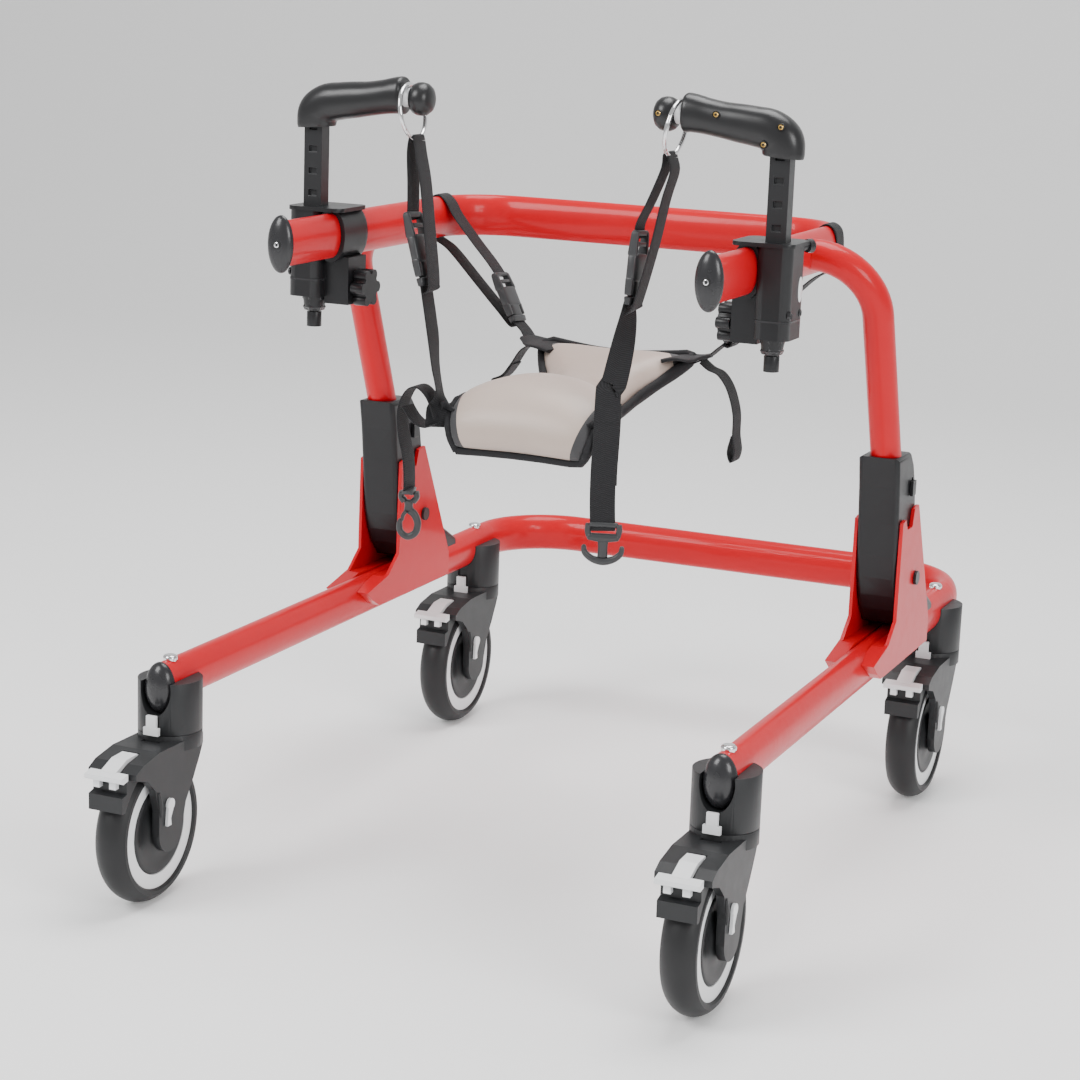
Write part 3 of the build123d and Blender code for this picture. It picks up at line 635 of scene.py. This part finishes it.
# The binding runs once round the middle sheet's rim, hem, side, rear and side.
BINDING_STEPS, BINDING_TALL, BINDING_THICK, BINDING_IN = 260, 0.0068, 0.0046, 0.982
binding_cloth = mottled("binding_cloth", (0.013, 0.013, 0.0145), spread=0.25, roughness=0.75,
                        grain=1900.0, depth=0.00012, Sheen_Weight=0.06, Specular_IOR_Level=0.25)
rim = np.concatenate([middle[0], middle[1:, -1], middle[-1, -2::-1], middle[-2:0:-1, 0]])
rim_up = np.concatenate([up[0], up[1:, -1], up[-1, -2::-1], up[-2:0:-1, 0]])
rim_knots = np.concatenate([rim * (BINDING_IN, 1.0, 1.0), rim_up], 1)[::3]
rim_loop = flow(rim_knots, BINDING_STEPS)
rim_loop[-1] = rim_loop[0]
wander = 0.0004 * np.sin(np.linspace(0, 60 * math.pi, BINDING_STEPS))
edge_rings = carry(rim_loop[:, :3], rim_loop[:, 3:], BINDING_TALL + wander, BINDING_THICK,
                   around=16, squareness=2.4)
build("saddle_binding", [rings_mesh(edge_rings)], binding_cloth, "upper")

# ---- Webbing ------------------------------------------------------------------------------
# Black nylon straps 25 mm wide, woven in a flat rib. The front pair loop through the rings and
# the rear pair over the arms; each folds back on itself through a side-release buckle.

WEB_W, WEB_T = 0.0125, 0.0009  # half the width and half the thickness
WEB_AROUND, WEB_SQUARE = 20, 5.0


def woven(name):
    """Nylon webbing: ribs across the strap and a chevron of warp threads along it.

    Height = a wave along the strap, bent by the distance from its middle, plus fine threads."""
    finish = Finish(name, Sheen_Weight=0.06, Sheen_Roughness=0.4, Specular_IOR_Level=0.25)
    uv = finish.node("ShaderNodeUVMap", {"uv_map": "strap"}, {})
    across, along = finish.along(uv, "X"), finish.along(uv, "Y")
    rib = ((along + abs(across) * 0.35) * 3300.0).sine()
    thread = (across * 7000.0).sine()
    # Painted shade and painted light: the colour follows the rib's height, darker in its grooves
    # and lighter on its crests.
    finish.feed("Base Color", finish.mix(rib * 0.5 + 0.5, rgba(0.007, 0.007, 0.008),
                                         rgba(0.020, 0.020, 0.022)))
    finish.feed("Roughness", finish.noise(200.0) * 0.15 + 0.58)
    finish.bump(rib + thread * 0.4, 0.00012)
    return finish


webbing = woven("strap_webbing")


def strap(name, runs, body, replaces=(), thickness=WEB_T):
    """Flat webbing along smooth runs: each run is (points, directions of the strap's width).

    Its UV map is metres across the strap and metres along it."""
    parts, uvs, offset = [], [], 0.0
    for points, widths in runs:
        count = max(24, 8 * len(points))
        line = flow(np.concatenate([points, widths], 1), count)
        rings = carry(line[:, :3], line[:, 3:], WEB_W, thickness, WEB_AROUND, WEB_SQUARE)
        parts.append(rings_mesh(rings))
        angle = np.linspace(0, 2 * math.pi, WEB_AROUND, endpoint=False)
        side = WEB_W * np.sign(np.cos(angle)) * np.abs(np.cos(angle)) ** (2 / WEB_SQUARE)
        length = np.concatenate([[0], np.cumsum(np.linalg.norm(
            np.diff(line[:, :3], axis=0), axis=1))])
        uvs.append(np.stack(np.broadcast_arrays(side[None], offset + length[:, None]), -1))
        offset += length[-1]
    piece = build(name, parts, webbing, body, replaces=replaces)
    flat = np.concatenate([uv.reshape(-1, 2) for uv in uvs])
    corners = np.empty(len(piece.data.loops), int)
    piece.data.loops.foreach_get("vertex_index", corners)
    layer = piece.data.uv_layers.new(name="strap")
    layer.data.foreach_set("uv", flat[corners].ravel())
    return piece


buckle_black = mottled("buckle_black", (0.030, 0.031, 0.033), spread=0.12, roughness=0.38,
                       grain=1500.0, depth=0.00004)


def buckle(name, top, bottom, across, body):
    """A closed side-release buckle from top to bottom, its width along across.

    Three superellipse bodies on one line (receiver, plug, bar end), two spring arms showing at
    the sides, and a bent bar at each end for the webbing."""
    top, bottom = np.array(top), np.array(bottom)
    length = np.linalg.norm(bottom - top)
    down = (bottom - top) / length
    across = np.array(across, float) - np.dot(across, down) * down
    across /= np.linalg.norm(across)
    depth = np.cross(down, across)

    def block(start, end, wide_a, wide_b, thick_a, thick_b, shift=0.0, lift=0.0):
        """One block between two fractions of the length: half widths, half depths, offsets.

        Each half size runs straight from a to b, and shrinks a little at both ends."""
        t = np.array([0.0, 0.04, 0.12, 0.5, 0.88, 0.96, 1.0])
        shrink = np.array([0.86, 0.95, 1.0, 1.0, 1.0, 0.95, 0.86])
        line = (top + down * (start + (end - start) * t)[:, None] * length
                + across * shift + depth * lift)
        wide = (wide_a + (wide_b - wide_a) * t) * shrink
        thick = (thick_a + (thick_b - thick_a) * t) * shrink
        return rings_mesh(carry(line, across, wide, thick, around=36, squareness=4.5))

    receiver = block(0.30, 0.66, 0.0165, 0.0160, 0.0052, 0.0050)
    plug = block(0.62, 0.86, 0.0105, 0.0098, 0.0044, 0.0040)
    bar_end = block(0.86, 0.97, 0.0158, 0.0158, 0.0046, 0.0034)
    parts = [receiver, plug, bar_end]
    for side in (-1, 1):
        parts.append(block(0.02, 0.33, 0.0026, 0.0030, 0.0034, 0.0050, side * 0.0136))
        parts.append(block(0.62, 0.84, 0.0028, 0.0022, 0.0040, 0.0036, side * 0.0138))
    parts.append(block(0.0, 0.07, 0.0160, 0.0160, 0.0030, 0.0030))
    parts.append(block(0.15, 0.21, 0.0120, 0.0120, 0.0026, 0.0026, lift=0.0012))
    return build(name, parts, buckle_black, body)


ALONG = (0.0, 1.0, 0.0)
RING_X, RING_Z = 0.1340, 0.7412
TAB_THICK = 0.0022
BUCKLE_DROP, BUCKLE_END = 0.074, 0.145  # distances from the ring, down the strap
FRONT_CORNERS = {"left": (-0.0880, -0.1895, 0.4800), "right": (0.0930, -0.1900, 0.5040)}
# Which way the strap's width faces, from below the buckle to the saddle: it twists a quarter.
TWISTS = {"left": [ALONG] * 3 + [(-0.15, 0.98, 0.0)] * 2 + [(0.80, 0.60, 0.0)] * 2,
          "right": [ALONG, (0.35, 0.90, 0.0), (0.75, 0.65, 0.0)]
                   + [(0.92, 0.38, 0.0)] * 2 + [(0.95, 0.30, 0.0)] * 2}
for side_name, side in {"left": -1, "right": 1}.items():
    ring = np.array((side * RING_X, GRIP_Y, RING_Z))
    corner = np.array(FRONT_CORNERS[side_name])
    slope = (corner - ring) / np.linalg.norm(corner - ring)
    low = ring + slope * BUCKLE_END
    aside = np.array((-0.0105, -0.002, 0.0))
    high = ring + slope * BUCKLE_DROP + aside
    outer = [ring + (0.0030, 0, 0.0010), ring + (0.0058, -0.001, -0.012),
             ring + slope * 0.040 + (0.0072, -0.002, 0), ring + slope * 0.085 + (0.0078, -0.003, 0),
             low + (0.0062, -0.002, 0.006), low + (0.0010, 0.0, -0.003)]
    over = [ring + (0.0030, 0, 0.0010), ring + (0.0010, 0, 0.0062), ring + (-0.0022, 0, 0.0040),
            ring + (-0.0040, 0.0, -0.010), ring + slope * 0.040 + aside * 0.65,
            high + (0.0004, 0, 0.010), high + (0.0, 0, -0.004)]
    down = [low + (-0.004, 0, 0.006), low + slope * 0.012 - (0.002, 0, 0), low + slope * 0.045,
            low + slope * 0.078, corner + (0, 0, 0.018), corner + (0.0, -0.002, 0.0),
            corner + (0.0, -0.003, -0.016)]
    straps = strap(f"front_{side_name}_webbing", [
        (outer, [ALONG] * 6), (over, [ALONG] * 7), (down, TWISTS[side_name])],
        None, [f"front_{side_name}_strap"])
    clasp = buckle(f"front_{side_name}_buckle", high + slope * -0.004, low + aside * 0.1, ALONG,
                   None)
    for piece in (straps, clasp):
        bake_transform(piece)

    # Rear pair: over the arm, both legs meeting at the buckle, then on to the saddle's wing.
    arm = np.array((side * ARM_X, 0.0800, ARM_Z))
    wing = np.array((side * 0.0930, 0.0640, 0.5140))
    clasp_top = np.array((side * 0.1480, 0.0760, 0.5870))
    clasp_low = np.array((side * 0.1200, 0.0710, 0.5350))
    over_arm = [arm + (side * 0.0128, 0, -0.004), arm + (side * 0.0100, 0, 0.0170),
                arm + (0.0, 0, 0.0242), arm + (side * -0.0105, 0, 0.0170),
                arm + (side * -0.0200, -0.001, 0.0030), arm + (side * -0.0420, -0.002, -0.0220),
                clasp_top + (side * 0.0100, 0.001, 0.0120), clasp_top + (side * -0.002, 0, -0.002)]
    under_arm = [arm + (side * 0.0128, 0, -0.004), arm + (side * 0.0095, 0, -0.0200),
                 arm + (side * -0.0010, 0, -0.0262), arm + (side * -0.0160, 0, -0.0360),
                 arm + (side * -0.0500, -0.002, -0.0690), clasp_low + (side * 0.0210, 0, 0.0130),
                 clasp_low + (side * 0.0060, 0, -0.0020), clasp_low + (side * -0.0010, 0, -0.0010)]
    onward = [clasp_low + (side * 0.001, 0, 0.002), clasp_low + (side * -0.008, -0.001, -0.0060),
              wing + (side * 0.0080, 0.001, 0.0050), wing + (side * -0.0060, -0.003, -0.0020)]
    strap(f"rear_{side_name}_webbing", [
        (over_arm, [ALONG] * 8), (under_arm, [ALONG] * 8), (onward, [ALONG] * 4)], "upper",
        ["rear_straps"] if side > 0 else ())
    buckle(f"rear_{side_name}_buckle", clasp_top, clasp_low, ALONG, "upper")

    # The pad's corner tabs, sewn of doubled black cloth, that the webbing is stitched to.
    # Each row is a point of the tab's middle line and half its width there.
    rear_tab = [(side * 0.056, 0.044, 0.5140, 0.024), (side * 0.074, 0.052, 0.5180, 0.031),
                (side * 0.092, 0.059, 0.5190, 0.024), (side * 0.106, 0.063, 0.5220, 0.0135)]
    front_tab = [(side * 0.070, -0.166, 0.4820, 0.018), (side * 0.079, -0.174, 0.4820, 0.018),
                 (side * 0.086, -0.183, 0.4820, 0.0150), (side * 0.089, -0.188, 0.4800, 0.0130)]
    tabs = []
    for line in (flow(rear_tab, 30), flow(front_tab, 30)):
        tabs.append(rings_mesh(carry(line[:, :3], (0.15, 1.0, 0.0), line[:, 3], TAB_THICK,
                                     around=20, squareness=4.0)))
    build(f"{side_name}_corner_tabs", tabs, binding_cloth, "upper")

# ---- Free ends of the webbing -------------------------------------------------------------
# The front pair end in black plastic hooks, a snap hook at the left and an anchor hook at the
# right. The rear right end is sewn into a loop, and the rear left one is folded and stitched.
# Each route is a few points along the middle of the webbing, from where it is sewn to its end.

ACROSS = (0.95, 0.30, 0.0)
strap("front_right_tail", [
    ([(0.0930, -0.1915, 0.5060), (0.0930, -0.1925, 0.4780), (0.0915, -0.1920, 0.4400),
      (0.0915, -0.1915, 0.4100), (0.0930, -0.1915, 0.3800)], [ACROSS] * 5),
    ([(0.0930, -0.1890, 0.5060), (0.0930, -0.1895, 0.4780), (0.0916, -0.1893, 0.4400),
      (0.0918, -0.1895, 0.4250)], [ACROSS] * 4)], "upper", thickness=0.0011)
strap("front_left_tail", [
    ([(-0.0880, -0.1900, 0.4740), (-0.0960, -0.1900, 0.4930), (-0.1080, -0.1900, 0.5030),
      (-0.1200, -0.1900, 0.4980), (-0.1280, -0.1900, 0.4790), (-0.1270, -0.1900, 0.4560),
      (-0.1215, -0.1900, 0.4330), (-0.1195, -0.1900, 0.4150), (-0.1190, -0.1900, 0.3960)],
     [ALONG] * 9),
    ([(-0.0860, -0.1900, 0.4680), (-0.1000, -0.1905, 0.4640), (-0.1130, -0.1905, 0.4700),
      (-0.1230, -0.1900, 0.4820)], [ALONG] * 4)], "upper")
strap("rear_right_tail", [
    ([(0.0960, 0.0620, 0.5160), (0.1060, 0.0640, 0.5080), (0.1180, 0.0640, 0.5030),
      (0.1290, 0.0640, 0.4880), (0.1365, 0.0640, 0.4640), (0.1375, 0.0640, 0.4400),
      (0.1400, 0.0640, 0.4230), (0.1365, 0.0640, 0.4120), (0.1325, 0.0640, 0.4230),
      (0.1360, 0.0640, 0.4400)], [ALONG] * 10)], "upper")
strap("rear_left_tail", [
    ([(-0.0980, 0.0620, 0.5160), (-0.1100, 0.0640, 0.5080), (-0.1200, 0.0640, 0.4930),
      (-0.1300, 0.0640, 0.4800), (-0.1420, 0.0640, 0.4740)], [ALONG] * 5),
    ([(-0.1185, 0.0640, 0.4925), (-0.1290, 0.0640, 0.4785), (-0.1400, 0.0640, 0.4720),
      (-0.1425, 0.0640, 0.4735)], [ALONG] * 4)], "upper")


def rod(points, thick, depth, around=14):
    """A round-ended bar along a smooth line in the hook's own plane; thick varies along it.

    Both half widths shrink towards each end as a circle's edge does, over three rings."""
    line = flow(np.concatenate([points, np.array(thick)[:, None]], 1), 12 * len(points))
    end = np.minimum(np.linspace(0, 1, len(line)), np.linspace(1, 0, len(line))) * len(line)
    blunt = np.sqrt(np.clip(1 - (1 - np.clip(end / 3.0, 0, 1)) ** 2, 0.05, 1))
    return rings_mesh(carry(line[:, :3], (0.30, -0.95, 0.0), depth * blunt,
                            line[:, 3] * blunt, around, 2.6))


def hook_points(top, outline):
    """Places (across, down) pairs in the upright plane that the hooks hang in."""
    return [(top[0] + a * 0.95, top[1] + a * 0.30, top[2] - d) for a, d in outline]


anchor = (0.0935, -0.1905, 0.3860)
cheeks = [rod(hook_points(anchor, [(side * 0.0150, -0.001), (side * 0.0155, 0.006),
                                   (side * 0.0140, 0.0125)]),
              (0.0030, 0.0030, 0.0030), 0.0034) for side in (-1, 1)]
build("front_right_hook", [
    rod(hook_points(anchor, [(-0.0145, 0.0), (0.0, -0.0005), (0.0145, 0.0)]),
        (0.0028, 0.0028, 0.0028), 0.0036),
    *cheeks,
    rod(hook_points(anchor, [(-0.0165, 0.0120), (0.0, 0.0130), (0.0165, 0.0120)]),
        (0.0034, 0.0044, 0.0034), 0.0042),
    rod(hook_points(anchor, [(0.0, 0.0120), (0.0, 0.0220), (0.0, 0.0330)]),
        (0.0060, 0.0048, 0.0052), 0.0034),
    rod(hook_points(anchor, [(-0.0190, 0.0205), (-0.0175, 0.0285), (-0.0100, 0.0345),
                             (0.0, 0.0365), (0.0100, 0.0345), (0.0175, 0.0285),
                             (0.0190, 0.0205)]),
        (0.0022, 0.0030, 0.0034, 0.0040, 0.0034, 0.0030, 0.0022), 0.0034)],
    buckle_black, "upper")
snap = (-0.1190, -0.1900, 0.3950)
cheeks = [rod(hook_points(snap, [(side * 0.0070, 0.0), (side * 0.0078, 0.0060),
                                 (side * 0.0040, 0.0110)]),
              (0.0030, 0.0030, 0.0034), 0.0060) for side in (-1, 1)]
build("front_left_hook", [
    rod(hook_points(snap, [(-0.0060, 0.0), (0.0, -0.0005), (0.0060, 0.0)]),
        (0.0030, 0.0030, 0.0030), 0.0135),
    *cheeks,
    rod(hook_points(snap, [(0.0, 0.0090), (0.0, 0.0150), (0.0, 0.0200)]),
        (0.0052, 0.0042, 0.0050), 0.0048),
    rod(hook_points(snap, [(0.0, 0.0190), (0.0060, 0.0240), (0.0095, 0.0330), (0.0070, 0.0430),
                           (-0.0010, 0.0470), (-0.0080, 0.0420), (-0.0090, 0.0330),
                           (-0.0070, 0.0290)]),
        (0.0040, 0.0038, 0.0036, 0.0036, 0.0034, 0.0032, 0.0028, 0.0022), 0.0040),
    rod(hook_points(snap, [(-0.0020, 0.0200), (-0.0055, 0.0250), (-0.0068, 0.0310)]),
        (0.0022, 0.0020, 0.0018), 0.0030)],
    buckle_black, "upper")
